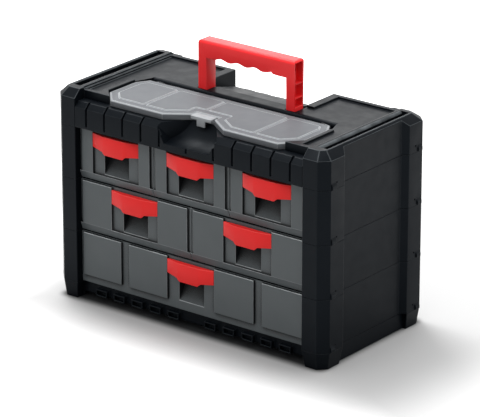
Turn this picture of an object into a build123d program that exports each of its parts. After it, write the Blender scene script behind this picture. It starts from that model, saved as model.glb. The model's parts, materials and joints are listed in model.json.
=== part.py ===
from build123d import *

import os
from math import cos, isclose, pi, sqrt

# Organizer case: a foot frame, three drawer cases and a top case stacked as one body, with six drawers,
# a drop-in parts tray under a clear lid and a folding carry handle. Millimetres, +X right, +Y back, +Z up.
# The origin is on the floor, in the middle of the footprint.

# The stack
case_width = 400
case_depth = 200
base_height = 21
row_height = 66
top_height = 45
drawer_rows = (
    ("bottom",),
    ("middle_left", "middle_right"),
    ("upper_left", "upper_centre", "upper_right"),
)
wall = 2.5
overrun = 4  # how far a cut runs past the face that it opens

# Corner posts, with the side and back panels set in between them
post_width = 32
post_depth = 37
post_chamfer = 11.4
side_recess = 7
back_recess = 5
lug_reach = 1.6
lug_length = 8
lug_height = 8
lug_margin = 1.2
pin_radius = 1
pin_depth = 1.5
pin_rise = 7.5
pin_front = 22
pin_back = 25

# Foot frame
foot_inset = 3
skirt_lift = 1.2
skirt_setback = 13
tooth_lift = 7
tooth_height = 9
tooth_reach = 5
tooth_width_share = 0.62
tooth_wall = 1.8

# Drawer cases
partition = 2
shelf_gap = 0.6

# Drawers
front_setback = 7
front_gap = 0.8
panel_raise = 2.5
plate_thickness = 2.5
panel_border = 4.2
panel_rib = 12
rail_height = 9.6
rail_tuck = 1.2
box_inset = 1.4
box_lift = 0.3
box_wall = 1.8
box_drop = 6
box_back_gap = 1.2
scoop_width = 37
scoop_wall = 1.6
scoop_depth = 15
scoop_sill = 1.5
scoop_back = 18
scoop_drop = 10
divider_thickness = 1.6
divider_height_share = 0.67
divider_gap = 0.15
rib_reach = 1.5
rib_width = 1.4

# Pulls
pull_width = 69.4
pull_gap = 0.3
pull_drop = 4.5
pull_height = 23
chin_rise = 3.6
shoulder_rise = 2
pull_wall = 2.2
wing_depth = 2.6
nose_depth = 7
nose_half = 15.5
chin_half = 13.5
shoulder_half = 17.5
tab_width = 8
tab_height = 3
tab_place = 27
tab_drop = 8
tab_hook = 1.5
tab_gap = 0.1

# Top case
rim_chamfer = 10
rim_back_run = 15
top_back_recess = 13
top_back_ledge = 3
block_drop = 3
block_border = 5.5
rail_border = 2
rail_inner = 29.5
rail_round = 4.5
rail_edge_round = 1.5
rail_lip_round = 2.2
rail_slot = 9
rail_slot_inset = 13
rail_slot_front = 19
rail_slot_back = 22
rail_slot_depth = 10
seat_drop = 13.5
fascia_chamfer = 6.5
block_setback = 18
groove_width = 2.8
groove_depth = 2.4
groove_margin = 17.6
groove_first = 40
groove_count = 5
groove_lift = 3
tray_wall = 2
tray_margin = 5
tray_gap = 0.3
tray_split_shares = (-0.28, -0.035, 0.287)
core_wall = 3

# Thumb scoop below the latch
thumb_top_half = 46
thumb_low_half = 33
thumb_back_half = 18
thumb_lift = 8.5
thumb_depth = 35
thumb_bulge_share = 0.17
thumb_wall = 2.2
thumb_groove = 1.2
thumb_groove_length = 12

# Lid
lid_side_margin = 27.5
lid_front = 12.5
lid_depth = 86.5
lid_front_cut_x = 20
lid_front_cut_y = 22
lid_back_cut_x = 10
lid_back_cut_y = 17
lid_gap = 1.6
pocket_cut_x = 8.2
pocket_cut_y = 23
lid_round = 2
lid_lift = 0.4
lid_height = 7.6
lid_wall = 1.8
lid_panel_raise = 1
lid_panel_margin = 11
lid_panel_gap = 4
lid_panel_corner = 3
notch_half = 45
notch_neck_half = 16
notch_neck_front = 33
notch_back = 42
lid_web = 1.2
lid_web_length = 7
lid_hinge_reach = 4.2
lid_hinge_rise = 3
lid_pin_radius = 2
lid_knuckle_wall = 1
lid_lug_inset = 20
lid_lug_width = 3
ear_width = 5
ear_wall = 1.5
ear_gap = 0.5
hinge_fit = 0.08
trench_gap = 0.4
trench_depth = 4.5

# Latch
latch_gap = 1.2
latch_hinge_inset = 4.5
latch_tail = 2
latch_reach = 10
latch_thickness = 2
latch_rise = 0.3
tongue_half = 6
tongue_length = 11.5
tongue_wall = 1.8
cheek_length = 6.5
cheek_width = 1.8
latch_hinge_drop = 3
cheek_drop = 2.1
latch_pin_radius = 1.5
latch_pin_end_gap = 0.6
catch_gap = 0.4
catch_height = 2

# Carry handle and the well that it folds into
handle_width = 142
handle_leg = 12
handle_depth = 17.7
handle_flare = 1.2
handle_pivot_drop = 13
handle_rise = 54.4
handle_corner = 3.5
handle_round = 4.5
handle_back_round = 1.5
grip_height = 20
bump_height = 2.6
bump_pitch_share = 0.212
bump_steps = 4
grip_core_wall = 2.4
leg_core_depth = 9
leg_core_wall = 1.7
leg_core_lift = 11
leg_rib = 1.5
leg_rib_shares = (0.2, 0.52)
axle_radius = 4
axle_length = 5
axle_end_gap = 0.5
well_gap = 2
island_gap = 1.5
grip_gap = 1.6
well_floor_gap = 4
well_wall = 7
bar_gap = 3.8
bar_drop = 5.7
bar_round = 4.5
bar_lip = 4.8
bar_depth = 19.5
leg_slot_gap = 0.65
bar_shoulder = 11
block_step = 27
island_drop = 9.9

# Places worked out from the sizes above
half_width = case_width / 2
front_y = -case_depth / 2
back_y = case_depth / 2
bay_half = half_width - post_width
row_floors = [base_height + row * row_height for row in range(len(drawer_rows))]
top_z = base_height + len(drawer_rows) * row_height
rim_z = top_z + top_height
block_z = rim_z - block_drop
seat_z = rim_z - seat_drop
face_y = front_y + front_setback
plate_y = face_y + panel_raise
plate_back_y = plate_y + plate_thickness
shelf_y = plate_back_y + shelf_gap
bay_back_y = back_y - back_recess - wall
corner_share = 2 - sqrt(2)  # a 45 degree cut shortens by this share of an inset
groove_pitch = (bay_half - groove_margin - groove_first) / (groove_count - 1)
tooth_width = groove_pitch * tooth_width_share
pull_top = row_height - pull_drop
pull_chin = pull_top - pull_height
pull_shoulder = pull_chin + chin_rise
pull_wing = pull_shoulder + shoulder_rise
scoop_low = rail_height + front_gap + scoop_sill
scoop_high = row_height - scoop_drop
scoop_knee = scoop_high - scoop_back
divider_height = row_height * divider_height_share


def both_sides(points):
    return points + [(-x, y) for x, y in reversed(points)]


def case_outline(recess, rear_recess):
    return both_sides([
        (half_width - post_chamfer, front_y),
        (half_width, front_y + post_chamfer),
        (half_width, front_y + post_depth),
        (half_width - recess, front_y + post_depth + recess),
        (half_width - recess, back_y - post_depth - recess),
        (half_width, back_y - post_depth),
        (half_width, back_y - post_chamfer),
        (half_width - post_chamfer, back_y),
        (bay_half, back_y),
        (bay_half - rear_recess, back_y - rear_recess),
    ])


def post_plan(inset, side, end):
    cut = post_chamfer - inset * corner_share
    inner_x = bay_half + inset
    outer_x = half_width - inset
    outer_y = back_y - inset
    inner_y = back_y - post_depth + inset
    points = [
        (inner_x, inner_y),
        (inner_x, outer_y),
        (outer_x - cut, outer_y),
        (outer_x, outer_y - cut),
        (outer_x, inner_y),
    ]
    return [(side * x, end * y) for x, y in points]


def lug_profile(side, low_z):
    points = [
        (half_width, low_z),
        (half_width + lug_reach, low_z),
        (half_width + lug_reach, low_z + lug_height / 2),
        (half_width, low_z + lug_height),
    ]
    return [(side * x, z) for x, z in points]


corners = [(side, end) for side in (-1, 1) for end in (-1, 1)]
lug_starts = (front_y + post_chamfer + lug_margin, back_y - post_chamfer - lug_margin - lug_length)
lug_places = [(side, start) for side in (-1, 1) for start in lug_starts]
pin_places = [(side, y) for side in (-1, 1) for y in (front_y + pin_front, back_y - pin_back)]


def save(piece, name):
    piece.part.label = name
    export_step(piece.part, f"parts/{name}.step")


os.makedirs("parts", exist_ok=True)

# Foot frame: a shallow skirted plate between four tapered feet, with a row of open cells along the front
skirt_front_y = front_y + skirt_setback
skirt_back_y = back_y - back_recess
skirt_middle_y = (skirt_front_y + skirt_back_y) / 2
skirt_length = skirt_back_y - skirt_front_y
skirt_width = 2 * (half_width - side_recess)
tooth_places = [side * (i + 1) * groove_pitch for side in (-1, 1) for i in range(groove_count)]

with BuildPart() as base_frame:
    with BuildSketch(Plane.XY.offset(skirt_lift)):
        with Locations((0, skirt_middle_y)):
            Rectangle(skirt_width, skirt_length)
    extrude(amount=base_height - skirt_lift)
    with BuildSketch(Plane.XY.offset(skirt_lift)):
        with Locations((0, skirt_middle_y)):
            Rectangle(skirt_width - 2 * wall, skirt_length - 2 * wall)
    extrude(amount=base_height - skirt_lift - wall, mode=Mode.SUBTRACT)
    with BuildSketch(Plane.XY):
        with Locations((0, skirt_front_y + wall / 2)):
            Rectangle(2 * bay_half, wall)
    extrude(amount=tooth_lift, mode=Mode.SUBTRACT)
    with BuildSketch(Plane.XZ.offset(-skirt_front_y)):
        with Locations(*[(x, tooth_lift + tooth_height / 2) for x in tooth_places]):
            Rectangle(tooth_width, tooth_height)
            Rectangle(tooth_width - 2 * tooth_wall, tooth_height - 2 * tooth_wall, mode=Mode.SUBTRACT)
    extrude(amount=tooth_reach)
    for side, end in corners:
        with BuildSketch(Plane.XY):
            with BuildLine():
                Polyline(*post_plan(foot_inset, side, end), close=True)
            make_face()
        with BuildSketch(Plane.XY.offset(base_height)):
            with BuildLine():
                Polyline(*post_plan(0, side, end), close=True)
            make_face()
        loft(ruled=True)
        with BuildSketch(Plane.XY.offset(wall)):
            with BuildLine():
                Polyline(*post_plan(foot_inset + wall, side, end), close=True)
            make_face()
        extrude(amount=base_height, mode=Mode.SUBTRACT)
save(base_frame, "base_frame")


def make_row_case(name, floor_z, columns):
    pitch = 2 * bay_half / columns
    with BuildPart() as case:
        with BuildSketch(Plane.XY.offset(floor_z)):
            with BuildLine():
                Polyline(*case_outline(side_recess, back_recess), close=True)
            make_face()
        extrude(amount=row_height)
        with BuildSketch(Plane.XY.offset(floor_z + wall)):
            with BuildLine():
                Polyline(*case_outline(side_recess, back_recess), close=True)
            make_face()
            offset(amount=-wall, kind=Kind.INTERSECTION, mode=Mode.REPLACE)
            Rectangle(2 * (bay_half + wall), case_depth, mode=Mode.SUBTRACT)
        extrude(amount=row_height, mode=Mode.SUBTRACT)
        with BuildSketch(Plane.XY.offset(floor_z + wall)):
            with Locations((0, (shelf_y + bay_back_y) / 2)):
                Rectangle(2 * bay_half, bay_back_y - shelf_y)
        extrude(amount=row_height, mode=Mode.SUBTRACT)
        with BuildSketch(Plane.XY.offset(floor_z)):
            with Locations((0, (shelf_y + front_y - overrun) / 2)):
                Rectangle(2 * bay_half, shelf_y - front_y + overrun)
        extrude(amount=row_height, mode=Mode.SUBTRACT)
        for i in range(1, columns):
            with BuildSketch(Plane.XY.offset(floor_z)):
                with Locations((i * pitch - bay_half, (shelf_y + bay_back_y) / 2)):
                    Rectangle(partition, bay_back_y - shelf_y)
            extrude(amount=row_height)
        for side, start in lug_places:
            with BuildSketch(Plane.XZ.offset(-start)):
                with BuildLine():
                    Polyline(*lug_profile(side, floor_z), close=True)
                make_face()
            extrude(amount=-lug_length)
        for side, y in pin_places:
            with BuildSketch(Plane.YZ.offset(side * half_width)):
                with Locations((y, floor_z + pin_rise)):
                    Circle(pin_radius)
            extrude(amount=-side * pin_depth, mode=Mode.SUBTRACT)
    save(case, name)


for name, floor_z, places in zip(("lower_case", "middle_case", "upper_case"), row_floors, drawer_rows):
    make_row_case(name, floor_z, len(places))


def front_profile(low, high, foot_rail):
    if not foot_rail:
        return [(plate_y, low), (plate_y, high), (plate_back_y, high), (plate_back_y, low)]
    return [
        (plate_y + rail_tuck, low),
        (face_y, low + rail_height),
        (plate_y, low + rail_height),
        (plate_y, high),
        (plate_back_y, high),
        (plate_back_y, low),
    ]


def scoop_profile(floor_z, grow):
    deep_y = plate_back_y + scoop_depth + grow
    top = floor_z + scoop_high + grow
    return [
        (plate_y, floor_z + scoop_low - grow),
        (deep_y, floor_z + scoop_knee - grow),
        (deep_y, top),
        (plate_y, top),
    ]


def make_drawer(place, row, column):
    columns = len(drawer_rows[row])
    splits_across = columns > 1
    pitch = 2 * bay_half / columns
    third = pitch / 3
    left = column * pitch - bay_half + front_gap / 2
    right = (column + 1) * pitch - bay_half - front_gap / 2
    middle = (left + right) / 2
    floor_z = row_floors[row]
    low = floor_z + front_gap
    high = floor_z + row_height - front_gap
    panel_low = low + rail_height
    panel_high = high - front_gap
    bay_edge = pull_width / 2 + pull_gap
    has_foot_rail = row > 0
    edges = [left + panel_border, middle - bay_edge, middle + bay_edge, right - panel_border]
    if columns == 1:
        rib_left = (edges[0] + edges[1]) / 2
        rib_right = (edges[2] + edges[3]) / 2
        edges[1:1] = [rib_left - panel_rib / 2, rib_left + panel_rib / 2]
        edges[5:5] = [rib_right - panel_rib / 2, rib_right + panel_rib / 2]
    panels = list(zip(edges[0::2], edges[1::2]))
    box_low = floor_z + wall + box_lift
    box_floor = box_low + box_wall
    box_high = floor_z + row_height - box_drop
    box_back = bay_back_y - box_back_gap
    box_width = right - left - 2 * box_inset
    inner_width = box_width - 2 * box_wall
    inner_back = box_back - box_wall
    rib_pitch = divider_thickness + 2 * divider_gap + rib_width
    inner_middle_y = (plate_back_y + inner_back) / 2
    tab_z = floor_z + pull_top - tab_drop

    with BuildPart() as drawer:
        with BuildSketch(Plane.YZ.offset(left)):
            with BuildLine():
                Polyline(*front_profile(low, high, has_foot_rail), close=True)
            make_face()
        extrude(amount=right - left)
        with BuildSketch(Plane.XZ.offset(-plate_y)):
            for panel_left, panel_right in panels:
                with Locations(((panel_left + panel_right) / 2, (panel_low + panel_high) / 2)):
                    Rectangle(panel_right - panel_left, panel_high - panel_low)
        extrude(amount=panel_raise)
        with BuildSketch(Plane.XY.offset(box_low)):
            with Locations((middle, (plate_back_y + box_back) / 2)):
                Rectangle(box_width, box_back - plate_back_y)
        extrude(amount=box_high - box_low)
        with BuildSketch(Plane.XY.offset(box_floor)):
            with Locations((middle, inner_middle_y)):
                Rectangle(inner_width, inner_back - plate_back_y)
        extrude(amount=box_high - box_floor, mode=Mode.SUBTRACT)
        with BuildSketch(Plane.YZ.offset(middle - scoop_width / 2 - scoop_wall)):
            with BuildLine():
                Polyline(*scoop_profile(floor_z, scoop_wall), close=True)
            make_face()
        extrude(amount=scoop_width + 2 * scoop_wall)
        with BuildSketch(Plane.YZ.offset(middle - scoop_width / 2)):
            with BuildLine():
                Polyline(*scoop_profile(floor_z, 0), close=True)
            make_face()
        extrude(amount=scoop_width, mode=Mode.SUBTRACT)
        with BuildSketch(Plane.XZ.offset(-plate_y + overrun)):
            with Locations((middle - tab_place, tab_z), (middle + tab_place, tab_z)):
                Rectangle(tab_width + 2 * tab_gap, tab_height + 2 * tab_gap)
        extrude(amount=-plate_thickness - 2 * overrun, mode=Mode.SUBTRACT)
        with BuildSketch(Plane.XY.offset(box_floor)):
            if splits_across:
                for side in (-1, 1):
                    for step in (-1, 1):
                        with Locations((
                            middle + side * (inner_width - rib_reach) / 2,
                            inner_middle_y + step * rib_pitch / 2,
                        )):
                            Rectangle(rib_reach, rib_width)
            else:
                for x in (-third / 2, third / 2):
                    for step in (-1, 1):
                        with Locations((middle + x + step * rib_pitch / 2, inner_back - rib_reach / 2)):
                            Rectangle(rib_width, rib_reach)
                        with Locations((middle + x + step * rib_pitch / 2, plate_back_y + rib_reach / 2)):
                            Rectangle(rib_width, rib_reach)
        extrude(amount=divider_height)
    save(drawer, f"drawer_{place}")

    if splits_across:
        with BuildPart() as divider:
            with BuildSketch(Plane.XY.offset(box_floor)):
                with Locations((middle, inner_middle_y)):
                    Rectangle(inner_width - 2 * divider_gap, divider_thickness)
            extrude(amount=divider_height)
        save(divider, f"divider_{place}")
    else:
        for hand, x in (("left", -third / 2), ("right", third / 2)):
            with BuildPart() as divider:
                with BuildSketch(Plane.XY.offset(box_floor)):
                    with Locations((middle + x, inner_middle_y)):
                        Rectangle(divider_thickness, inner_back - plate_back_y - 2 * divider_gap)
                extrude(amount=divider_height)
            save(divider, f"divider_{place}_{hand}")

    half = pull_width / 2
    wing_y = plate_y - wing_depth
    nose_y = plate_y - nose_depth
    hood = [(half, plate_y), (half, wing_y), (nose_half, nose_y)]
    hollow = [
        (half - pull_wall, plate_y),
        (half - pull_wall, wing_y + pull_wall),
        (nose_half, nose_y + pull_wall),
    ]
    skirt = [
        (half + overrun, pull_chin - overrun),
        (half + overrun, pull_wing),
        (half, pull_wing),
        (shoulder_half, pull_shoulder),
        (chin_half, pull_chin),
    ]
    with BuildPart() as pull:
        with BuildSketch(Plane.XY.offset(floor_z + pull_chin)):
            with BuildLine():
                Polyline(*[(middle + x, y) for x, y in both_sides(hood)], close=True)
            make_face()
        extrude(amount=pull_top - pull_chin)
        with BuildSketch(Plane.XY.offset(floor_z + pull_chin)):
            with BuildLine():
                Polyline(*[(middle + x, y) for x, y in both_sides(hollow)], close=True)
            make_face()
        extrude(amount=pull_top - pull_chin - pull_wall, mode=Mode.SUBTRACT)
        with BuildSketch(Plane.XZ.offset(-plate_y)):
            with BuildLine():
                Polyline(*[(middle + x, floor_z + z) for x, z in both_sides(skirt)], close=True)
            make_face()
        extrude(amount=nose_depth + overrun, mode=Mode.SUBTRACT)
        with BuildSketch(Plane.XZ.offset(-plate_y + pull_wall)):
            with Locations((middle - tab_place, tab_z), (middle + tab_place, tab_z)):
                Rectangle(tab_width, tab_height)
        extrude(amount=-pull_wall - plate_thickness - tab_hook)
    save(pull, f"pull_{place}")


for row, places in enumerate(drawer_rows):
    for column, place in enumerate(places):
        make_drawer(place, row, column)

# Top case: a shell with two raised blocks, a slotted rail along each side, a well at the back for the
# folded handle and room at the front for the parts tray
lid_half = half_width - rail_inner - lid_side_margin
lid_front_y = front_y + lid_front
lid_back_y = lid_front_y + lid_depth
lid_low_z = seat_z + lid_lift
lid_top_z = lid_low_z + lid_height
lid_hinge_y = lid_back_y + lid_hinge_reach
lid_hinge_z = seat_z + lid_hinge_rise
bar_front_y = lid_hinge_y + bar_gap
bar_back_y = bar_front_y + bar_depth
bar_z = rim_z - bar_drop
leg_slot_y = bar_front_y + bar_lip
handle_y = leg_slot_y + leg_slot_gap + handle_depth / 2
handle_half = handle_width / 2
handle_top_z = rim_z + handle_rise
pivot_z = rim_z - handle_pivot_drop
grip_z = handle_top_z - grip_height - bump_height / 2
grip_span = handle_width - 2 * handle_leg
bump_step = grip_span * bump_pitch_share / 2
well_half = handle_half + well_gap
well_z = pivot_z - handle_depth / 2 - well_floor_gap
island_half = grip_span / 2 - island_gap
island_back_y = handle_y + grip_z - pivot_z - grip_gap
island_back_z = bar_z - island_drop
island_slope = island_drop / (island_back_y - bar_back_y)
block_front_y = front_y + block_setback
block_back_y = back_y - top_back_recess
step_half = well_half + bar_shoulder
step_back_y = bar_front_y + block_step
rail_x = half_width - rail_inner
pocket_half = lid_half + lid_gap
pocket_bend_y = bar_front_y - pocket_cut_y
sky_z = rim_z + overrun
out_y = back_y + overrun
trench_half = lid_half - lid_back_cut_x
trench_z = seat_z - trench_depth
tray_z = top_z + wall
thumb_low_z = top_z + thumb_lift
thumb_back_y = front_y + thumb_depth
latch_hinge_y = front_y + notch_back - latch_hinge_inset
latch_front_y = latch_hinge_y - latch_reach
latch_hinge_z = lid_top_z - latch_hinge_drop
lug_outer_x = lid_half - lid_lug_inset + lid_lug_width
ear_outer_x = lid_half - lid_lug_inset - ear_gap
ear_inner_x = ear_outer_x - ear_width


def rim_outline(inset, back_inset):
    cut = post_chamfer - inset * corner_share
    return both_sides([
        (half_width - inset - cut, front_y + inset),
        (half_width - inset, front_y + inset + cut),
        (half_width - inset, back_y - back_inset - cut),
        (half_width - inset - cut, back_y - back_inset),
    ])


lid_edge = [
    (lid_half - lid_front_cut_x, lid_front_y),
    (lid_half, lid_front_y + lid_front_cut_y),
    (lid_half, lid_back_y - lid_back_cut_y),
    (lid_half - lid_back_cut_x, lid_back_y),
]


def bump_wave(low):
    places = range(-bump_steps, bump_steps + 1)
    return [(i * bump_step, low + bump_height * (1 - cos(i * pi)) / 2) for i in places]


# Each cut is a box: x from and to, y from and to, z from and to
top_cuts = [
    (-bay_half, bay_half, front_y - overrun, block_front_y, top_z, sky_z),
    (-rail_x, rail_x, block_front_y, out_y, block_z, sky_z),
    (-step_half, step_half, bar_front_y, step_back_y, bar_z, sky_z),
    (-trench_half, trench_half, lid_back_y + trench_gap, bar_front_y, trench_z, sky_z),
    (-well_half, -island_half, leg_slot_y, out_y, well_z, sky_z),
    (island_half, well_half, leg_slot_y, out_y, well_z, sky_z),
]
# The shell is cored from below, so that its walls are about even
core_back_y = block_back_y - core_wall
block_core_z = bar_z - core_wall
rail_core_z = rim_z - rail_slot_depth - core_wall
tray_front_y = lid_front_y + tray_margin
tray_back_y = lid_back_y - tray_margin
side_core_x = half_width - side_recess - wall
post_core_y = front_y + post_depth + side_recess
for side in (-1, 1):
    top_cores = [
        (pocket_half + core_wall, rail_x - core_wall, block_front_y + core_wall, core_back_y, block_core_z),
        (well_half + well_wall, pocket_half + core_wall, bar_front_y + core_wall, core_back_y, block_core_z),
        (rail_x - core_wall, side_core_x, post_core_y, -post_core_y, rail_core_z),
        (0, well_half, bar_front_y + core_wall, core_back_y, well_z - core_wall),
        (0, island_half - core_wall, bar_front_y + core_wall, island_back_y - core_wall,
         island_back_z - core_wall),
        (0, trench_half, tray_back_y + tray_wall + wall, bar_front_y + core_wall, trench_z - core_wall),
    ]
    for near, far, y_low, y_high, z_high in top_cores:
        low_x, high_x = sorted((side * near, side * far))
        top_cuts.append((low_x, high_x, y_low, y_high, top_z, z_high))

block_sunk = [
    (pocket_half + block_border, block_front_y + block_border),
    (rail_x - rail_border, block_front_y + block_border),
    (rail_x - rail_border, block_back_y - block_border),
    (step_half, block_back_y - block_border),
    (step_half, bar_front_y),
    (pocket_half - pocket_cut_x, bar_front_y),
    (pocket_half, pocket_bend_y),
    (pocket_half + block_border, pocket_bend_y),
]
with BuildPart() as rim_form:
    with BuildSketch(Plane.XY.offset(top_z)):
        with BuildLine():
            Polyline(*rim_outline(0, 0), close=True)
        make_face()
    extrude(amount=top_height - rim_chamfer)
    with BuildSketch(Plane.XY.offset(rim_z - rim_chamfer)):
        with BuildLine():
            Polyline(*rim_outline(0, 0), close=True)
        make_face()
    with BuildSketch(Plane.XY.offset(rim_z)):
        with BuildLine():
            Polyline(*rim_outline(rim_chamfer, rim_back_run), close=True)
        make_face()
    loft(ruled=True)

with BuildPart() as top_case:
    with BuildSketch(Plane.XY.offset(top_z)):
        with BuildLine():
            Polyline(*case_outline(side_recess, top_back_recess), close=True)
        make_face()
    extrude(amount=top_height)
    with BuildSketch(Plane.XY.offset(top_z)):
        with BuildLine():
            Polyline(*case_outline(side_recess, back_recess), close=True)
        make_face()
    extrude(amount=top_back_ledge)
    add(rim_form.part, mode=Mode.INTERSECT)
    for x_low, x_high, y_low, y_high, z_low, z_high in top_cuts:
        with BuildSketch(Plane.XY.offset(z_low)):
            with Locations(((x_low + x_high) / 2, (y_low + y_high) / 2)):
                Rectangle(x_high - x_low, y_high - y_low)
        extrude(amount=z_high - z_low, mode=Mode.SUBTRACT)
    for side, end in corners:
        with BuildSketch(Plane.XY.offset(top_z)):
            with BuildLine():
                Polyline(*post_plan(core_wall, side, end), close=True)
            make_face()
        extrude(amount=rail_core_z - top_z, mode=Mode.SUBTRACT)
    # pocket for the lid, and room for the tray below it
    with BuildSketch(Plane.XY.offset(seat_z)):
        with BuildLine():
            Polyline(*both_sides([
                (pocket_half - lid_front_cut_x, lid_front_y),
                (pocket_half, lid_front_y + lid_front_cut_y),
                (pocket_half, pocket_bend_y),
                (pocket_half - pocket_cut_x, bar_front_y),
            ]), close=True)
        make_face()
    extrude(amount=sky_z - seat_z, mode=Mode.SUBTRACT)
    with BuildSketch(Plane.XY.offset(top_z)):
        with BuildLine():
            Polyline(*both_sides(lid_edge), close=True)
        make_face()
        offset(amount=tray_gap + tray_wall - tray_margin, kind=Kind.INTERSECTION, mode=Mode.REPLACE)
    extrude(amount=seat_z - top_z, mode=Mode.SUBTRACT)
    # sunk tops of the blocks, and the rail slots
    for side in (-1, 1):
        with BuildSketch(Plane.XY.offset(bar_z)):
            with BuildLine():
                Polyline(*[(side * x, y) for x, y in block_sunk], close=True)
            make_face()
        extrude(amount=sky_z - bar_z, mode=Mode.SUBTRACT)
        with BuildSketch(Plane.XY.offset(rim_z - rail_slot_depth)):
            with Locations((
                side * (half_width - rail_slot_inset - rail_slot / 2),
                (rail_slot_front - rail_slot_back) / 2,
            )):
                Rectangle(rail_slot, case_depth - rail_slot_front - rail_slot_back)
        extrude(amount=rail_slot_depth + overrun, mode=Mode.SUBTRACT)
    # each rail: a lip outside its slot, and a ridge that is well rounded toward it, less toward the block
    for edge_x, radius in (
        (half_width - rail_slot_inset, rail_lip_round),
        (half_width - rail_slot_inset - rail_slot, rail_round),
        (rail_x, rail_edge_round),
    ):
        crest = edges().filter_by(Axis.Y).group_by(Axis.Z)[-1]
        fillet([edge for edge in crest if isclose(abs(edge.center().X), edge_x)], radius)
    # handle well: sloping island with a waved rear edge, and the rounded bar behind the lid
    with BuildSketch(Plane.XY.offset(well_z)):
        wave = bump_wave(island_back_y)
        with BuildLine():
            Spline(*wave, tangents=((1, 0), (1, 0)))
            Polyline(
                wave[-1],
                (well_half, island_back_y),
                (well_half, out_y),
                (-well_half, out_y),
                (-well_half, island_back_y),
                wave[0],
            )
        make_face()
    extrude(amount=sky_z - well_z, mode=Mode.SUBTRACT)
    with BuildSketch(Plane.YZ.offset(-island_half)):
        with BuildLine():
            Polyline(
                (bar_back_y, bar_z),
                (bar_back_y, sky_z),
                (out_y, sky_z),
                (out_y, bar_z - (out_y - bar_back_y) * island_slope),
                close=True,
            )
        make_face()
    extrude(amount=2 * island_half, mode=Mode.SUBTRACT)
    bar_half = pocket_half - pocket_cut_x
    bar_bow = bar_round * corner_share / 2
    with BuildSketch(Plane.YZ.offset(-bar_half)):
        with BuildLine():
            ThreePointArc(
                (bar_front_y, bar_z - bar_round),
                (bar_front_y + bar_bow, bar_z - bar_bow),
                (bar_front_y + bar_round, bar_z),
            )
            Polyline(
                (bar_front_y + bar_round, bar_z),
                (bar_front_y, bar_z),
                (bar_front_y, bar_z - bar_round),
            )
        make_face()
    extrude(amount=2 * bar_half, mode=Mode.SUBTRACT)
    # ears for the lid's hinge and bearings for the handle's axles
    for inner_x in (ear_inner_x, -ear_outer_x):
        with BuildSketch(Plane.YZ.offset(inner_x)):
            with Locations((lid_hinge_y, lid_hinge_z)):
                Circle(lid_pin_radius + ear_wall)
            with BuildLine():
                Polyline(
                    (lid_hinge_y - lid_pin_radius - ear_wall, lid_hinge_z),
                    (lid_hinge_y - lid_pin_radius - ear_wall, trench_z),
                    (bar_front_y, trench_z),
                    (bar_front_y, lid_hinge_z),
                    close=True,
                )
            make_face()
            with Locations((lid_hinge_y, lid_hinge_z)):
                Circle(lid_pin_radius + hinge_fit, mode=Mode.SUBTRACT)
        extrude(amount=ear_width)
    for side in (-1, 1):
        with BuildSketch(Plane.YZ.offset(side * well_half)):
            with Locations((handle_y, pivot_z)):
                Circle(axle_radius + hinge_fit)
        extrude(amount=side * (axle_length - well_gap + axle_end_gap), mode=Mode.SUBTRACT)
    for side, start in lug_places:
        with BuildSketch(Plane.XZ.offset(-start)):
            with BuildLine():
                Polyline(*lug_profile(side, top_z), close=True)
            make_face()
        extrude(amount=-lug_length)
    for side, y in pin_places:
        with BuildSketch(Plane.YZ.offset(side * half_width)):
            with Locations((y, top_z + pin_rise)):
                Circle(pin_radius)
        extrude(amount=-side * pin_depth, mode=Mode.SUBTRACT)
save(top_case, "top_case")

# Parts tray: one moulding with four compartments, the grooved front of the case and a thumb scoop
groove_places = [side * (groove_first + i * groove_pitch) for side in (-1, 1) for i in range(groove_count)]
groove_profile = [
    (front_y - overrun, top_z + groove_lift),
    (front_y + groove_depth, top_z + groove_lift),
    (front_y + groove_depth, seat_z - fascia_chamfer - groove_depth / 2),
    (front_y + fascia_chamfer + groove_depth, seat_z - groove_depth / 2),
    (front_y + fascia_chamfer + groove_depth, seat_z + overrun),
    (front_y - overrun, seat_z + overrun),
]
fascia_core_y = front_y + core_wall + groove_depth
fascia_back_y = block_front_y - tray_gap


def thumb_arc(grow):
    start_z = thumb_low_z - grow
    end_y = thumb_back_y + grow
    middle_y = (front_y + end_y) / 2 + (seat_z - start_z) * thumb_bulge_share
    middle_z = (start_z + seat_z) / 2 - (end_y - front_y) * thumb_bulge_share
    return (front_y, start_z), (middle_y, middle_z), (end_y, seat_z)


with BuildPart() as thumb_cutter:
    start, middle, end = thumb_arc(0)
    with BuildSketch(Plane.YZ.offset(-thumb_top_half)):
        with BuildLine():
            ThreePointArc(start, middle, end)
            Polyline(
                end,
                (thumb_back_y, sky_z),
                (front_y - overrun, sky_z),
                (front_y - overrun, thumb_low_z),
                start,
            )
        make_face()
    extrude(amount=2 * thumb_top_half)
    with BuildSketch(Plane.XZ.offset(-out_y)):
        with BuildLine():
            Polyline(*both_sides([
                (thumb_low_half, top_z),
                (thumb_low_half, thumb_low_z),
                (thumb_top_half, seat_z),
                (thumb_top_half, sky_z),
            ]), close=True)
        make_face()
    extrude(amount=case_depth + 2 * overrun, mode=Mode.INTERSECT)
    with BuildSketch(Plane.XY.offset(top_z)):
        with BuildLine():
            Polyline(*both_sides([
                (thumb_top_half, front_y - overrun),
                (thumb_top_half, front_y),
                (thumb_back_half, thumb_back_y),
                (thumb_back_half, thumb_back_y + overrun),
            ]), close=True)
        make_face()
    extrude(amount=top_height + overrun, mode=Mode.INTERSECT)

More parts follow.
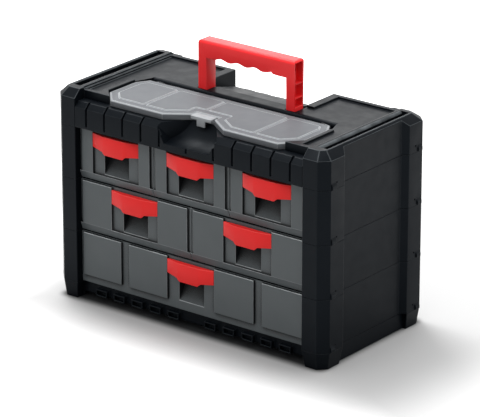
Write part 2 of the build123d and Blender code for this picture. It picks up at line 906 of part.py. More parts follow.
with BuildPart() as parts_tray:
    with BuildSketch(Plane.XY.offset(top_z)):
        with BuildLine():
            Polyline(*both_sides(lid_edge), close=True)
        make_face()
        offset(amount=tray_wall - tray_margin, kind=Kind.INTERSECTION, mode=Mode.REPLACE)
        with Locations((0, (front_y + fascia_back_y) / 2)):
            Rectangle(2 * (bay_half - tray_gap), fascia_back_y - front_y)
    extrude(amount=seat_z - top_z)
    with BuildSketch(Plane.XY.offset(top_z)):
        core_near = thumb_top_half + 2 * thumb_wall
        core_far = bay_half - core_wall
        core_depth = fascia_back_y - core_wall - fascia_core_y
        for side in (-1, 1):
            with Locations((side * (core_near + core_far) / 2, fascia_core_y + core_depth / 2)):
                Rectangle(core_far - core_near, core_depth)
    extrude(amount=seat_z - fascia_chamfer - top_z, mode=Mode.SUBTRACT)
    with BuildSketch(Plane.XY.offset(tray_z)):
        with BuildLine():
            Polyline(*both_sides(lid_edge), close=True)
        make_face()
        offset(amount=-tray_margin, kind=Kind.INTERSECTION, mode=Mode.REPLACE)
    extrude(amount=seat_z - tray_z, mode=Mode.SUBTRACT)
    with BuildSketch(Plane.XY.offset(top_z)):
        for share in tray_split_shares:
            with Locations((share * 2 * lid_half, (tray_front_y + tray_back_y) / 2)):
                Rectangle(tray_wall, tray_back_y - tray_front_y)
    extrude(amount=seat_z - top_z)
    # front edge of the ledge
    with BuildSketch(Plane.YZ.offset(-bay_half)):
        with BuildLine():
            Polyline(
                (front_y - overrun, seat_z + overrun),
                (front_y - overrun, seat_z - fascia_chamfer - overrun),
                (front_y + fascia_chamfer + overrun, seat_z + overrun),
                close=True,
            )
        make_face()
    extrude(amount=2 * bay_half, mode=Mode.SUBTRACT)
    for x in [0] + groove_places:
        with BuildSketch(Plane.YZ.offset(x - groove_width / 2)):
            with BuildLine():
                Polyline(*groove_profile, close=True)
            make_face()
        extrude(amount=groove_width, mode=Mode.SUBTRACT)
    # thumb scoop: a curved shell with the latch's catch on its upper edge
    start, middle, end = thumb_arc(thumb_wall)
    with BuildSketch(Plane.YZ.offset(-thumb_top_half - thumb_wall)):
        with BuildLine():
            ThreePointArc(start, middle, end)
            Polyline(
                end,
                (front_y + fascia_chamfer, seat_z),
                (front_y + groove_depth, seat_z - fascia_chamfer),
                (front_y + groove_depth, thumb_low_z - thumb_wall),
                start,
            )
        make_face()
    extrude(amount=2 * (thumb_top_half + thumb_wall))
    add(thumb_cutter.part, mode=Mode.SUBTRACT)
    with BuildSketch(Plane.YZ.offset(-groove_width / 2)):
        with BuildLine():
            Polyline(
                (front_y - overrun, thumb_low_z - thumb_groove),
                (front_y, thumb_low_z - thumb_groove),
                (front_y + thumb_groove_length, thumb_low_z + thumb_groove),
                (front_y + thumb_groove_length, seat_z),
                (front_y - overrun, seat_z),
                close=True,
            )
        make_face()
    extrude(amount=groove_width, mode=Mode.SUBTRACT)
    catch_y = latch_front_y + tongue_wall + catch_gap
    with BuildSketch(Plane.XY.offset(seat_z)):
        with Locations((0, (catch_y + thumb_back_y + thumb_wall) / 2)):
            Rectangle(2 * tongue_half, thumb_back_y + thumb_wall - catch_y)
    extrude(amount=-catch_height)
save(parts_tray, "parts_tray")

# Tray lid: a shallow clear cover with raised panels, notched at the front for its latch
lid_plan = both_sides([
    (notch_neck_half, front_y + notch_back),
    (notch_neck_half, front_y + notch_neck_front),
    (notch_half, lid_front_y),
] + lid_edge)
knuckle = lid_pin_radius + lid_knuckle_wall

with BuildPart() as tray_lid:
    with BuildSketch(Plane.XY.offset(lid_low_z)):
        with BuildLine():
            Polyline(*lid_plan, close=True)
        make_face()
    extrude(amount=lid_height)
    fillet(edges().group_by(Axis.Z)[-1], lid_round)
    with BuildSketch(Plane.XY.offset(lid_low_z)):
        with BuildLine():
            Polyline(*lid_plan, close=True)
        make_face()
        offset(amount=-lid_wall, kind=Kind.INTERSECTION, mode=Mode.REPLACE)
    extrude(amount=lid_height - lid_wall, mode=Mode.SUBTRACT)
    with BuildSketch(Plane.XY.offset(lid_top_z)):
        with BuildLine():
            Polyline(*lid_plan, close=True)
        make_face()
        offset(amount=-lid_panel_margin, kind=Kind.INTERSECTION, mode=Mode.REPLACE)
        for share in tray_split_shares:
            with Locations((share * 2 * lid_half, (lid_front_y + lid_back_y) / 2)):
                Rectangle(lid_panel_gap, lid_depth, mode=Mode.SUBTRACT)
        fillet(vertices(), lid_panel_corner)
    extrude(amount=lid_panel_raise)
    # web below the latch, which closes the notch behind the thumb scoop
    with BuildSketch(Plane.XY.offset(lid_low_z)):
        with Locations((0, front_y + notch_back + lid_wall / 2 - lid_web_length / 2)):
            Rectangle(2 * notch_neck_half, lid_web_length + lid_wall)
    extrude(amount=lid_web)
    for side in (-1, 1):
        with BuildSketch(Plane.YZ.offset(side * (lug_outer_x - lid_lug_width))):
            with Locations((lid_hinge_y, lid_hinge_z)):
                Circle(knuckle)
            with BuildLine():
                Polyline(
                    (lid_hinge_y, lid_hinge_z + knuckle),
                    (lid_back_y - lid_wall / 2, lid_hinge_z + knuckle),
                    (lid_back_y - lid_wall / 2, lid_hinge_z),
                    (lid_hinge_y, lid_hinge_z - knuckle),
                    close=True,
                )
            make_face()
        extrude(amount=side * lid_lug_width)
        with BuildSketch(Plane.YZ.offset(side * (lug_outer_x - lid_lug_width))):
            with Locations((lid_hinge_y, lid_hinge_z)):
                Circle(lid_pin_radius)
        extrude(amount=-side * (ear_width + 2 * ear_gap))
    with BuildSketch(Plane.YZ.offset(-notch_neck_half - lid_wall - overrun)):
        with Locations((latch_hinge_y, latch_hinge_z)):
            Circle(latch_pin_radius + hinge_fit)
    extrude(amount=2 * (notch_neck_half + lid_wall + overrun), mode=Mode.SUBTRACT)
save(tray_lid, "tray_lid")

# Lid latch: a clear flap hinged in the lid's notch, with a tongue in front of the catch
latch_half = notch_neck_half - latch_gap
latch_top_z = lid_top_z + latch_rise
plate_low_z = latch_top_z - latch_thickness
latch_back_y = latch_hinge_y + latch_tail

with BuildPart() as lid_latch:
    with BuildSketch(Plane.XY.offset(plate_low_z)):
        with Locations((0, (latch_front_y + latch_back_y) / 2)):
            Rectangle(2 * latch_half, latch_back_y - latch_front_y)
    extrude(amount=latch_thickness)
    with BuildSketch(Plane.XY.offset(plate_low_z)):
        with Locations((0, latch_front_y + tongue_wall / 2)):
            Rectangle(2 * latch_half, tongue_wall)
    extrude(amount=-latch_thickness)
    with BuildSketch(Plane.XY.offset(plate_low_z)):
        with Locations((0, latch_front_y + tongue_wall / 2)):
            Rectangle(2 * tongue_half, tongue_wall)
    extrude(amount=latch_thickness - tongue_length)
    for side in (-1, 1):
        with BuildSketch(Plane.XY.offset(plate_low_z)):
            with Locations((side * (latch_half - cheek_width / 2), latch_back_y - cheek_length / 2)):
                Rectangle(cheek_width, cheek_length)
        extrude(amount=latch_hinge_z - cheek_drop - plate_low_z)
        with BuildSketch(Plane.YZ.offset(side * latch_half)):
            with Locations((latch_hinge_y, latch_hinge_z)):
                Circle(latch_pin_radius)
        extrude(amount=side * (latch_gap + lid_wall - latch_pin_end_gap))
save(lid_latch, "lid_latch")

# Carry handle: two cored legs and a waved grip, turning on stub axles
handle_back_y = handle_y + handle_depth / 2
leg_middle = handle_half - handle_leg / 2
core_low_z = pivot_z + leg_core_lift
core_high_z = handle_top_z - grip_core_wall
core_height = core_high_z - core_low_z
grip_core_low_z = grip_z + bump_height + grip_core_wall
grip_wave = bump_wave(grip_z)

with BuildPart() as carry_handle:
    with BuildSketch(Plane.XZ.offset(-handle_back_y - handle_flare)):
        with Locations((0, (pivot_z + handle_top_z) / 2)):
            Rectangle(handle_width, handle_top_z - pivot_z)
        fillet(vertices().group_by(Axis.Y)[-1], handle_corner)
        with BuildLine():
            Spline(*grip_wave, tangents=((1, 0), (1, 0)))
            Polyline(
                grip_wave[-1],
                (grip_span / 2, grip_z),
                (grip_span / 2, pivot_z),
                (-grip_span / 2, pivot_z),
                (-grip_span / 2, grip_z),
                grip_wave[0],
            )
        make_face(mode=Mode.SUBTRACT)
    extrude(amount=handle_depth + handle_flare)
    with BuildSketch(Plane.YZ.offset(-handle_half)):
        with BuildLine():
            Polyline(
                (handle_back_y - handle_depth, pivot_z),
                (handle_back_y - handle_depth, handle_top_z),
                (handle_back_y + handle_flare, handle_top_z),
                (handle_back_y, pivot_z),
                close=True,
            )
        make_face()
        fillet(vertices().group_by(Axis.Y)[-1].sort_by(Axis.X)[-1], handle_back_round)
        fillet(vertices().group_by(Axis.Y)[-1].sort_by(Axis.X)[0], handle_round)
    extrude(amount=handle_width, mode=Mode.INTERSECT)
    with BuildSketch(Plane.XZ.offset(-handle_y - handle_depth / 2 + grip_core_wall)):
        with Locations((0, (grip_core_low_z + core_high_z) / 2)):
            Rectangle(handle_width + 2 * overrun, core_high_z - grip_core_low_z)
    extrude(amount=handle_depth - 2 * grip_core_wall, mode=Mode.SUBTRACT)
    for side in (-1, 1):
        with BuildSketch(Plane.YZ.offset(side * (handle_half - handle_leg))):
            with Locations((handle_y, pivot_z)):
                Circle(handle_depth / 2)
        extrude(amount=side * handle_leg)
        with BuildSketch(Plane.YZ.offset(side * handle_half)):
            with Locations((handle_y, (core_low_z + core_high_z) / 2)):
                Rectangle(handle_depth - 2 * leg_core_wall, core_height)
            for share in leg_rib_shares:
                with Locations((handle_y, core_low_z + share * core_height)):
                    Rectangle(handle_depth, leg_rib, mode=Mode.SUBTRACT)
        extrude(amount=-side * leg_core_depth, mode=Mode.SUBTRACT)
        with BuildSketch(Plane.YZ.offset(side * handle_half)):
            with Locations((handle_y, pivot_z)):
                Circle(axle_radius)
        extrude(amount=side * axle_length)
save(carry_handle, "carry_handle")
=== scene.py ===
import json
from math import cos, radians, sin

import bmesh
import bpy
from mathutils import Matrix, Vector
from mathutils.bvhtree import BVHTree
from mathutils.geometry import intersect_line_line_2d, intersect_point_line

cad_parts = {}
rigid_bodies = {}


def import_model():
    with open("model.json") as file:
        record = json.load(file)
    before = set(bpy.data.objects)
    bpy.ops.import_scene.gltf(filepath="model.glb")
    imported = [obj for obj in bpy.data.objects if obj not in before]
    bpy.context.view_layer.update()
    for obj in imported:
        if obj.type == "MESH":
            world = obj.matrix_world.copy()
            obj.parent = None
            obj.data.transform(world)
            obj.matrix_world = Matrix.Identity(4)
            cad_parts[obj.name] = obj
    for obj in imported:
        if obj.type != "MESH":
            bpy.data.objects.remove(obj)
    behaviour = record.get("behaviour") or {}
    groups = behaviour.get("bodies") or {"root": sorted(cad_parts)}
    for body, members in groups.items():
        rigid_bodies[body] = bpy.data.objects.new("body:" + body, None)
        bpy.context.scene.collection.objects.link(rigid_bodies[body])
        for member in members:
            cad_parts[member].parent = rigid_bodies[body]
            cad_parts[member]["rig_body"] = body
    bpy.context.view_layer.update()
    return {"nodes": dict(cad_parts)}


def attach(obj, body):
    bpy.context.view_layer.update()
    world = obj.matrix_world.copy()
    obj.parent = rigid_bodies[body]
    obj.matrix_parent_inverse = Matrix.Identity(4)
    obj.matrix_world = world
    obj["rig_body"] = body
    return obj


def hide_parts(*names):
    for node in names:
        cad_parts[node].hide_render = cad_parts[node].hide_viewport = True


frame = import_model()
print("frame loaded:", len(frame["nodes"]), "nodes")

mm = 0.001
colourMix = {"data_type": "RGBA"}
softStep = {"interpolation_type": "SMOOTHSTEP"}
product = {"operation": "MULTIPLY"}
larger = {"operation": "MAXIMUM"}


# an sRGB hex value as the linear colour that a shader takes
def hexColour(text):
    channels = [int(text[i:i + 2], 16) / 255 for i in (1, 3, 5)]
    linear = [c / 12.92 if c <= 0.04045 else ((c + 0.055) / 1.055) ** 2.4 for c in channels]
    return (*linear, 1)


# an input is given by its name, or as the letter i and its number where a name repeats
def addNode(tree, kind, settings=None, **inputs):
    node = tree.nodes.new(kind)
    for name, value in (settings or {}).items():
        setattr(node, name, value)
    for name, value in inputs.items():
        socket = node.inputs[int(name[1:]) if name[1:].isdigit() else name.replace("_", " ")]
        if isinstance(value, bpy.types.NodeSocket):
            tree.links.new(value, socket)
        else:
            socket.default_value = value
    return node


# what all the plastics share: octaves of each pattern, the span of the rub that shifts the sheen,
# and the rays that find the pockets where shade is painted in
moulding = {"cloudDetail": 2, "grainDetail": 1, "rubDetail": 3, "rubSpan": (0.3, 0.7), "pocketRays": 8}


# injection-moulded plastic: a faint cloud in the colour, a grain in the relief, a sheen that shifts
# a little from place to place, edges painted lighter as a highlight, and painted shade in pockets
def mouldedPlastic(name, look):
    material = bpy.data.materials.new(name)
    material.use_nodes = True
    tree = material.node_tree
    shader = tree.nodes["Principled BSDF"]
    spot = addNode(tree, "ShaderNodeTexCoord").outputs["Object"]
    cloud, grain, rub = [
        addNode(tree, "ShaderNodeTexNoise", Vector=spot, Scale=1 / (look[pattern + "Size"] * mm),
                Detail=moulding[pattern + "Detail"]).outputs["Fac"]
        for pattern in ("cloud", "grain", "rub")]
    # painted highlight: marked edge faces are painted towards the edge-light colour, in patches of the rub
    # noise
    edge = addNode(tree, "ShaderNodeAttribute", {"attribute_name": "eased"}).outputs["Fac"]
    highlit = addNode(tree, "ShaderNodeMath", product, i0=edge, i1=rub)
    tone = addNode(tree, "ShaderNodeMix", colourMix, i0=cloud,
                   i6=hexColour(look["dark"]), i7=hexColour(look["light"])).outputs[2]
    # painted shade: the colour is painted darker where ambient occlusion finds surfaces close by
    if "pocket" in look:
        deep, shallow = look["pocketDepth"]
        nearby = addNode(tree, "ShaderNodeAmbientOcclusion",
                         {"samples": moulding["pocketRays"], "only_local": True},
                         Distance=look["pocketReach"] * mm)
        bare = addNode(tree, "ShaderNodeMapRange", Value=nearby.outputs["AO"],
                       From_Min=deep, From_Max=shallow)
        tone = addNode(tree, "ShaderNodeMix", colourMix, i0=bare.outputs["Result"],
                       i6=hexColour(look["pocket"]), i7=tone).outputs[2]
    paintedEdgeLight = addNode(tree, "ShaderNodeMix", colourMix, i0=highlit.outputs["Value"],
                     i6=tone, i7=hexColour(look["paintedEdgeLight"]))
    sheen = addNode(tree, "ShaderNodeMapRange", Value=rub,
                    From_Min=moulding["rubSpan"][0], From_Max=moulding["rubSpan"][1],
                    To_Min=look["rough"][0], To_Max=look["rough"][1])
    bump = addNode(tree, "ShaderNodeBump", Height=grain,
                   Strength=look["grainStrength"], Distance=look["grainDepth"] * mm)
    tree.links.new(paintedEdgeLight.outputs[2], shader.inputs["Base Color"])
    tree.links.new(sheen.outputs["Result"], shader.inputs["Roughness"])
    tree.links.new(bump.outputs["Normal"], shader.inputs["Normal"])
    shader.inputs["IOR"].default_value = look["ior"]
    shader.inputs["Specular Tint"].default_value = hexColour(look.get("sheenTint", "#ffffff"))
    shader.inputs["Alpha"].default_value = look.get("alpha", 1)
    return material


# the finish that a moulding tool leaves, sizes in mm; real grain is finer, and is drawn as coarse
# as it needs to show
sparkedTool = {"cloudSize": 40, "grainSize": 0.7, "grainStrength": 0.12, "grainDepth": 0.06, "rubSize": 14}
satinTool = {"cloudSize": 25, "grainSize": 0.7, "grainStrength": 0.06, "grainDepth": 0.04, "rubSize": 10}

# black polypropylene from a spark-eroded tool: near black face on, a grey sheen at a low angle
blackPolypropylene = mouldedPlastic("blackPolypropylene", {
    **sparkedTool, "dark": "#05080c", "light": "#090c10", "paintedEdgeLight": "#6a6f72",
    "rough": (0.36, 0.46), "ior": 1.18, "sheenTint": "#dde9f4",
})
# graphite polypropylene: the same moulding in a mid grey, with shade painted in down in its pockets
graphitePolypropylene = mouldedPlastic("graphitePolypropylene", {
    **sparkedTool, "dark": "#494e50", "light": "#505557", "paintedEdgeLight": "#c4c8ca",
    "rough": (0.36, 0.46), "ior": 1.3,
    "pocket": "#0e1012", "pocketReach": 60, "pocketDepth": (0.75, 1.0),
})
# red polypropylene: a smoother tool, so a tighter satin gloss
redPolypropylene = mouldedPlastic("redPolypropylene", {
    **satinTool, "dark": "#dc2323", "light": "#e32a29", "paintedEdgeLight": "#ee5a55",
    "rough": (0.32, 0.4), "ior": 1.24,
})
# painted light: the handle's red is a brighter copy of the same plastic, standing in for the brighter light
# on the handle
redHandlePaintedLight = mouldedPlastic("redHandlePaintedLight", {
    **satinTool, "dark": "#ee2b2e", "light": "#f43134", "paintedEdgeLight": "#f86a64",
    "rough": (0.3, 0.38), "ior": 1.3,
})
# clear polypropylene: thin and milky, faintly rippled, with the dark tray showing through it
milkyPolypropylene = mouldedPlastic("milkyPolypropylene", {
    "dark": "#65686c", "light": "#6d7074", "paintedEdgeLight": "#a9acaf",
    "rough": (0.48, 0.56), "ior": 1.3, "alpha": 0.7,
    "cloudSize": 25, "grainSize": 3, "grainStrength": 0.03, "grainDepth": 0.03, "rubSize": 12,
})
# the same plastic seen edge on, where the light that runs inside the sheet comes out
milkyEdge = mouldedPlastic("milkyEdge", {
    "dark": "#919497", "light": "#9b9ea1", "paintedEdgeLight": "#aaadb0",
    "rough": (0.4, 0.48), "ior": 1.3, "alpha": 0.85,
    "cloudSize": 25, "grainSize": 0.7, "grainStrength": 0.04, "grainDepth": 0.03, "rubSize": 12,
})
print("materials made")

easing = {
    "merge": 0.002,       # mm, within which the corners of the loose triangles are one
    "flatAngle": 1,       # degrees, under which two triangles are one face
    "sharpAngle": 20,     # degrees, over which an edge is a corner to ease
    "longEdge": 3,        # eases of length that a lone edge needs
    "runOn": 0.8,         # cosine, over which two edges belong to one rounded corner
    "stray": 0.6,         # eases by which the copy may leave the solid
    "leastFace": 0.001,   # mm2, under which a face isn't looked at
    "firstReach": 1.5,    # eases around a fault within which edges stay sharp
    "moreReach": 0.75,    # eases that each further try adds to that
    "plainTries": 4,      # tries that look at a crossing alone, before its edges' ends are added
    "tries": 10,
}


# where a face's outline crosses itself, with the ends of the two edges that cross
def crossings(face):
    across = face.normal.orthogonal().normalized()
    upward = face.normal.cross(across)
    places = [v.co for v in face.verts]
    flat = [Vector((place.dot(across), place.dot(upward))) for place in places]
    count = len(flat)
    found = []
    for i in range(count):
        for j in range(i + 2, count - (i == 0)):
            ends = [i, i + 1, j, (j + 1) % count]
            spot = intersect_line_line_2d(*[flat[k] for k in ends])
            if spot:
                level = face.normal * places[i].dot(face.normal)
                found.append((across * spot.x + upward * spot.y + level, [places[k].copy() for k in ends]))
    return found


# whether a sharp edge goes on past one of its ends, as the pieces of a rounded corner do
def runsOn(edge, vert, sharp):
    others = [other for other in vert.link_edges if other in sharp and other is not edge]
    if len(others) != 1:
        return False
    along = (vert.co - edge.other_vert(vert).co).normalized()
    return along.dot((others[0].other_vert(vert).co - vert.co).normalized()) > easing["runOn"]


# how far a spot is from the stretch between two ends
def distanceTo(spot, start, end):
    share = max(0, min(1, intersect_point_line(spot, start, end)[1]))
    return (share * (end - start) + start - spot).length


# a merged copy of a solid, its corners eased as a mould eases them, and the faces of that easing
def easeCorners(node, look):
    ease = look["ease"] * mm
    held = set()
    for attempt in range(easing["tries"]):
        bm = bmesh.new()
        bm.from_mesh(frame["nodes"][node].data)
        bmesh.ops.remove_doubles(bm, verts=bm.verts, dist=easing["merge"] * mm)
        bmesh.ops.dissolve_limit(bm, angle_limit=radians(easing["flatAngle"]),
                                 verts=bm.verts, edges=bm.edges)
        bm.faces.layers.float.new("eased")
        bm.edges.index_update()
        solid = BVHTree.FromBMesh(bm)
        sharp = {e for e in bm.edges
                 if e.is_manifold and e.calc_face_angle(0) > radians(easing["sharpAngle"])}
        corners = [e for e in bm.edges if e in sharp and e.index not in held
                   and (e.calc_length() > easing["longEdge"] * ease
                        or all(runsOn(e, v, sharp) for v in e.verts))]
        lines = [(e.index, e.verts[0].co.copy(), e.verts[1].co.copy()) for e in corners]
        eased = bmesh.ops.bevel(bm, geom=corners, offset=ease, offset_type="OFFSET", affect="EDGES",
                                segments=look["segments"], profile=0.5, material=-1, clamp_overlap=False)
        # where a corner is too tight to ease, the copy leaves the solid or a face crosses itself,
        # and the edges there stay sharp
        spots = [v.co.copy() for v in bm.verts if solid.find_nearest(v.co)[3] > easing["stray"] * ease]
        for face in bm.faces:
            if len(face.verts) > 3 and face.calc_area() > easing["leastFace"] * mm * mm:
                for spot, ends in crossings(face):
                    spots += [spot] + (ends if attempt >= easing["plainTries"] else [])
        if not spots or attempt == easing["tries"] - 1:
            break
        reach = (easing["firstReach"] + easing["moreReach"] * attempt) * ease
        held |= {index for index, start, end in lines for spot in spots
                 if distanceTo(spot, start, end) < reach}
        bm.free()
    print("eased", node, "in", attempt + 1, "tries, edges kept sharp:", len(held), "places left:", len(spots))
    return bm, set(eased["faces"])


# height and side in mm; a slope is the upward part of a face's normal
highlightPlaces = {"topLevel": 252, "railSide": 168, "upwardSlope": 0.25, "levelSlope": 0.97}


# painted highlight: upward edges and the rails' narrow rounded faces are painted lighter, those on top most,
# downward ones not at all
def paintHighlights(bm, rounded, look):
    mark = bm.faces.layers.float["eased"]
    onTop, below, upright = look["highlightShare"]
    bm.normal_update()
    for face in bm.faces:
        middle = face.calc_center_median()
        slope = face.normal.z
        high = middle.z > highlightPlaces["topLevel"] * mm
        onRail = high and abs(middle.x) > highlightPlaces["railSide"] * mm
        narrow = min(e.calc_length() for e in face.edges) < look.get("narrow", 0) * mm
        if face in rounded and sum(e.calc_face_angle_signed(0) for e in face.edges) > 0:
            if slope > highlightPlaces["upwardSlope"]:
                face[mark] = onTop if high else below
            else:
                face[mark] = upright if slope > -highlightPlaces["upwardSlope"] else 0
        elif narrow and onRail and highlightPlaces["upwardSlope"] < slope < highlightPlaces["levelSlope"]:
            face[mark] = 1


# slopes as above, the least face that gets a band in mm2
clearSheet = {"flatSlope": 0.99, "leastFlat": 20, "edgeSlope": 0.2, "levelSlope": 0.97}


# light leaves the clear sheet along its edges, so a band there looks paler
def markEdgeBand(bm, look):
    mark = bm.faces.layers.float["eased"]
    flats = [f for f in bm.faces if f.normal.z > clearSheet["flatSlope"] and not f[mark]
             and f.calc_area() > clearSheet["leastFlat"] * mm * mm]
    band = bmesh.ops.inset_region(bm, faces=flats, thickness=look["edgeBand"] * mm, depth=0,
                                  use_even_offset=True, use_boundary=True)["faces"]
    for face in band:
        face[mark] = look["highlightShare"][0]


# the moulded piece that is shown in place of a solid
def easedCopy(node, look):
    source = frame["nodes"][node]
    bm, rounded = easeCorners(node, look)
    paintHighlights(bm, rounded, look)
    if "edgeBand" in look:
        markEdgeBand(bm, look)
    bmesh.ops.triangulate(bm, faces=[f for f in bm.faces if len(f.verts) > 4])
    for face in bm.faces:
        face.smooth = True
    for edge in bm.edges:
        edge.smooth = edge.is_manifold and edge.calc_face_angle(0) < radians(look["smooth"])
    # painted light: the lid's marked and sloping upward faces take the paler edge material
    if "edgeMaterial" in look:
        mark = bm.faces.layers.float["eased"]
        for face in bm.faces:
            sloping = face.normal.z < clearSheet["levelSlope"]
            if face.normal.z > clearSheet["edgeSlope"] and (face[mark] or sloping):
                face.material_index = 1
    mesh = bpy.data.meshes.new(node + "Eased")
    bm.to_mesh(mesh)
    bm.free()
    mesh.materials.append(look["material"])
    if "edgeMaterial" in look:
        mesh.materials.append(look["edgeMaterial"])
    piece = bpy.data.objects.new(node + "Eased", mesh)
    bpy.context.scene.collection.objects.link(piece)
    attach(piece, source["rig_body"])
    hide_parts(node)


# ease, narrow and edgeBand in mm, smooth in degrees; highlightShare is the painted highlight for edges on
# top, below and upright
shellLook = {"material": blackPolypropylene, "slot": "case_shell", "ease": 0.7, "segments": 2,
             "smooth": 12, "highlightShare": (0.6, 0.1, 0.04), "narrow": 1.2}
drawerLook = {"material": graphitePolypropylene, "slot": "drawer_body", "ease": 0.6, "segments": 2,
              "smooth": 20, "highlightShare": (1, 1, 0.3)}
pullLook = {"material": redPolypropylene, "slot": "red_plastic", "ease": 0.7, "segments": 3,
            "smooth": 28, "highlightShare": (0.8, 0.8, 0.3)}
handleLook = {**pullLook, "material": redHandlePaintedLight}
dividerLook = {"material": blackPolypropylene, "slot": "divider_plastic", "ease": 0.2, "segments": 1,
               "smooth": 20, "highlightShare": (0.5, 0.5, 0.1)}
lidLook = {"material": milkyPolypropylene, "edgeMaterial": milkyEdge, "slot": "clear_lid",
           "ease": 0.6, "segments": 3, "smooth": 28, "highlightShare": (1, 1, 0.5), "edgeBand": 0.45}
latchLook = {"material": milkyEdge, "slot": "clear_lid", "ease": 0.4, "segments": 2,
             "smooth": 28, "highlightShare": (1, 1, 0.5)}

# the look of a node by how its name starts, and the shell's for all others
looks = {"drawer_": drawerLook, "pull_": pullLook, "carry_handle": handleLook, "divider_": dividerLook,
         "tray_lid": lidLook, "lid_latch": latchLook}
for node in sorted(frame["nodes"]):
    easedCopy(node, next((look for start, look in looks.items() if node.startswith(start)), shellLook))
print("moulded pieces eased")

# lengths in metres
stage = {"floorSize": 12, "floorColour": "#ececec", "floorRough": 0.9, "backColour": "#ffffff",
         "paintedShadowColour": "#2a2c2e", "footprint": (0.186, 0.09, 1), "contact": 0.018,
         "hazeNear": 0.35, "hazeFar": 1.1,
         "fades": (("Y", -0.11, -0.27), ("X", 0.26, 0.6), ("X", -0.2, -0.3)), "worldLight": 0.4}

bm = bmesh.new()
bmesh.ops.create_grid(bm, x_segments=1, y_segments=1, size=stage["floorSize"] / 2)
floorMesh = bpy.data.meshes.new("floor")
bm.to_mesh(floorMesh)
bm.free()
floor = bpy.data.objects.new("floor", floorMesh)
bpy.context.scene.collection.objects.link(floor)
floorPaint = bpy.data.materials.new("floorPaint")
floorPaint.use_nodes = True
floorTree = floorPaint.node_tree
floorShader = floorTree.nodes["Principled BSDF"]
floorShader.inputs["Roughness"].default_value = stage["floorRough"]
floorShader.inputs["Emission Color"].default_value = hexColour(stage["backColour"])


# how far a ray shows the background: seen straight on, in a gloss or through a clear piece
def shownBackground(tree):
    ray = addNode(tree, "ShaderNodeLightPath")
    first = addNode(tree, "ShaderNodeMath", larger,
                    i0=ray.outputs["Is Camera Ray"], i1=ray.outputs["Is Glossy Ray"])
    return addNode(tree, "ShaderNodeMath", larger,
                   i0=first.outputs["Value"], i1=ray.outputs["Is Transmission Ray"]).outputs["Value"]


floorSpot = addNode(floorTree, "ShaderNodeTexCoord").outputs["Object"]
# painted shadow: the floor is painted dark under the case, where light from the horizon would brighten it too
# much
aside = addNode(floorTree, "ShaderNodeVectorMath", {"operation": "ABSOLUTE"}, i0=floorSpot)
beyond = addNode(floorTree, "ShaderNodeVectorMath", {"operation": "SUBTRACT"},
                 i0=aside.outputs["Vector"], i1=stage["footprint"])
outside = addNode(floorTree, "ShaderNodeVectorMath", larger, i0=beyond.outputs["Vector"], i1=(0, 0, 0))
away = addNode(floorTree, "ShaderNodeVectorMath", {"operation": "LENGTH"}, i0=outside.outputs["Vector"])
uncovered = addNode(floorTree, "ShaderNodeMapRange", softStep, Value=away.outputs["Value"],
                    From_Min=0.0, From_Max=stage["contact"])
paint = addNode(floorTree, "ShaderNodeMix", colourMix, i0=uncovered.outputs["Result"],
                i6=hexColour(stage["paintedShadowColour"]), i7=hexColour(stage["floorColour"]))
floorTree.links.new(paint.outputs[2], floorShader.inputs["Base Color"])
# its glow is painted light that brightens it into the white background, soon in front and at the left, slowly
# at the right and behind, and so cuts the cast shadow short there
spread = addNode(floorTree, "ShaderNodeVectorMath", {"operation": "LENGTH"}, i0=floorSpot)
haze = addNode(floorTree, "ShaderNodeMapRange", softStep, Value=spread.outputs["Value"],
               From_Min=stage["hazeNear"], From_Max=stage["hazeFar"])
sides = addNode(floorTree, "ShaderNodeSeparateXYZ", i0=floorSpot)
faded = haze.outputs["Result"]
for axis, near, far in stage["fades"]:
    fade = addNode(floorTree, "ShaderNodeMapRange", softStep, Value=sides.outputs[axis],
                   From_Min=near, From_Max=far)
    faded = addNode(floorTree, "ShaderNodeMath", larger,
                    i0=faded, i1=fade.outputs["Result"]).outputs["Value"]
glow = addNode(floorTree, "ShaderNodeMath", product, i0=shownBackground(floorTree), i1=faded)
floorTree.links.new(glow.outputs["Value"], floorShader.inputs["Emission Strength"])
floorMesh.materials.append(floorPaint)

world = bpy.data.worlds.new("studio")
world.use_nodes = True
bpy.context.scene.world = world
sky = world.node_tree
skyLight = addNode(sky, "ShaderNodeMapRange", Value=shownBackground(sky),
                   To_Min=stage["worldLight"], To_Max=1.0)
sky.links.new(skyLight.outputs["Result"], sky.nodes["Background"].inputs["Strength"])
sky.nodes["Background"].inputs["Color"].default_value = hexColour(stage["backColour"])

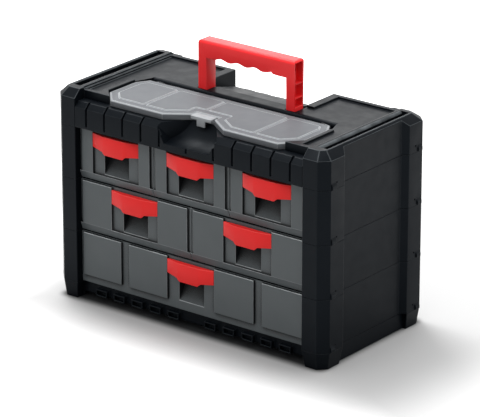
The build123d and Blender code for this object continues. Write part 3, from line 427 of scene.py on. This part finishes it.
# sizes and places in metres, power in watts
lamps = {
    "overhead": {"size": (1.6, 1.6), "power": 16, "place": (0.1, 0.3, 1.8), "aim": (0, 0, 0.1)},
    "key": {"size": (1.0, 1.0), "power": 30, "place": (-0.95, 0.45, 2.05), "aim": (0, 0, 0.1)},
}
# these stand for bounced light, which leaves the floor's shadow alone
fillLamps = {
    "behind": {"size": (2.4, 1.2), "power": 13, "place": (-1.3, 1.7, 1.0), "aim": (0, 0, 0.2)},
    "rightSide": {"size": (1.2, 1.2), "power": 7, "place": (1.8, 0.2, 0.9), "aim": (0, 0, 0.15)},
    "front": {"size": (1.6, 1.0), "power": 35, "place": (-0.3, -1.15, 2.5), "aim": (0, 0, 0.15)},
}
allButFloor = bpy.data.collections.new("allButFloor")
allButFloor.objects.link(floor)
allButFloor.collection_objects[0].light_linking.link_state = "EXCLUDE"


def softBox(name, look):
    data = bpy.data.lights.new(name, "AREA")
    data.shape = "RECTANGLE"
    data.size, data.size_y = look["size"]
    data.energy = look["power"]
    lamp = bpy.data.objects.new(name, data)
    bpy.context.scene.collection.objects.link(lamp)
    lamp.location = look["place"]
    facing = Vector(look["aim"]) - Vector(look["place"])
    lamp.rotation_euler = facing.to_track_quat("-Z", "Y").to_euler()
    lamp.visible_camera = False
    return lamp


for name, look in lamps.items():
    softBox(name, look)
for name, look in fillLamps.items():
    softBox(name, look).light_linking.receiver_collection = allButFloor

# angles in degrees, distances in metres, lens and sensor in mm
shot = {"azimuth": 38.0, "elevation": 20.62, "distance": 4.1315, "aim": (0.0011, 0, 0.12566),
        "lens": 262.18, "sensor": 36, "clipEnd": 50}
swing, lift = radians(shot["azimuth"]), radians(shot["elevation"])
aim = Vector(shot["aim"])
eye = aim + shot["distance"] * Vector((sin(swing) * cos(lift), -cos(swing) * cos(lift), sin(lift)))
lens = bpy.data.cameras.new("photoCamera")
lens.lens = shot["lens"]
lens.sensor_width = shot["sensor"]
lens.clip_end = shot["clipEnd"]
camera = bpy.data.objects.new("photoCamera", lens)
bpy.context.scene.collection.objects.link(camera)
camera.location = eye
camera.rotation_euler = (aim - eye).to_track_quat("-Z", "Y").to_euler()
bpy.context.scene.camera = camera
bpy.context.scene.view_settings.view_transform = "Standard"
print("stage set")
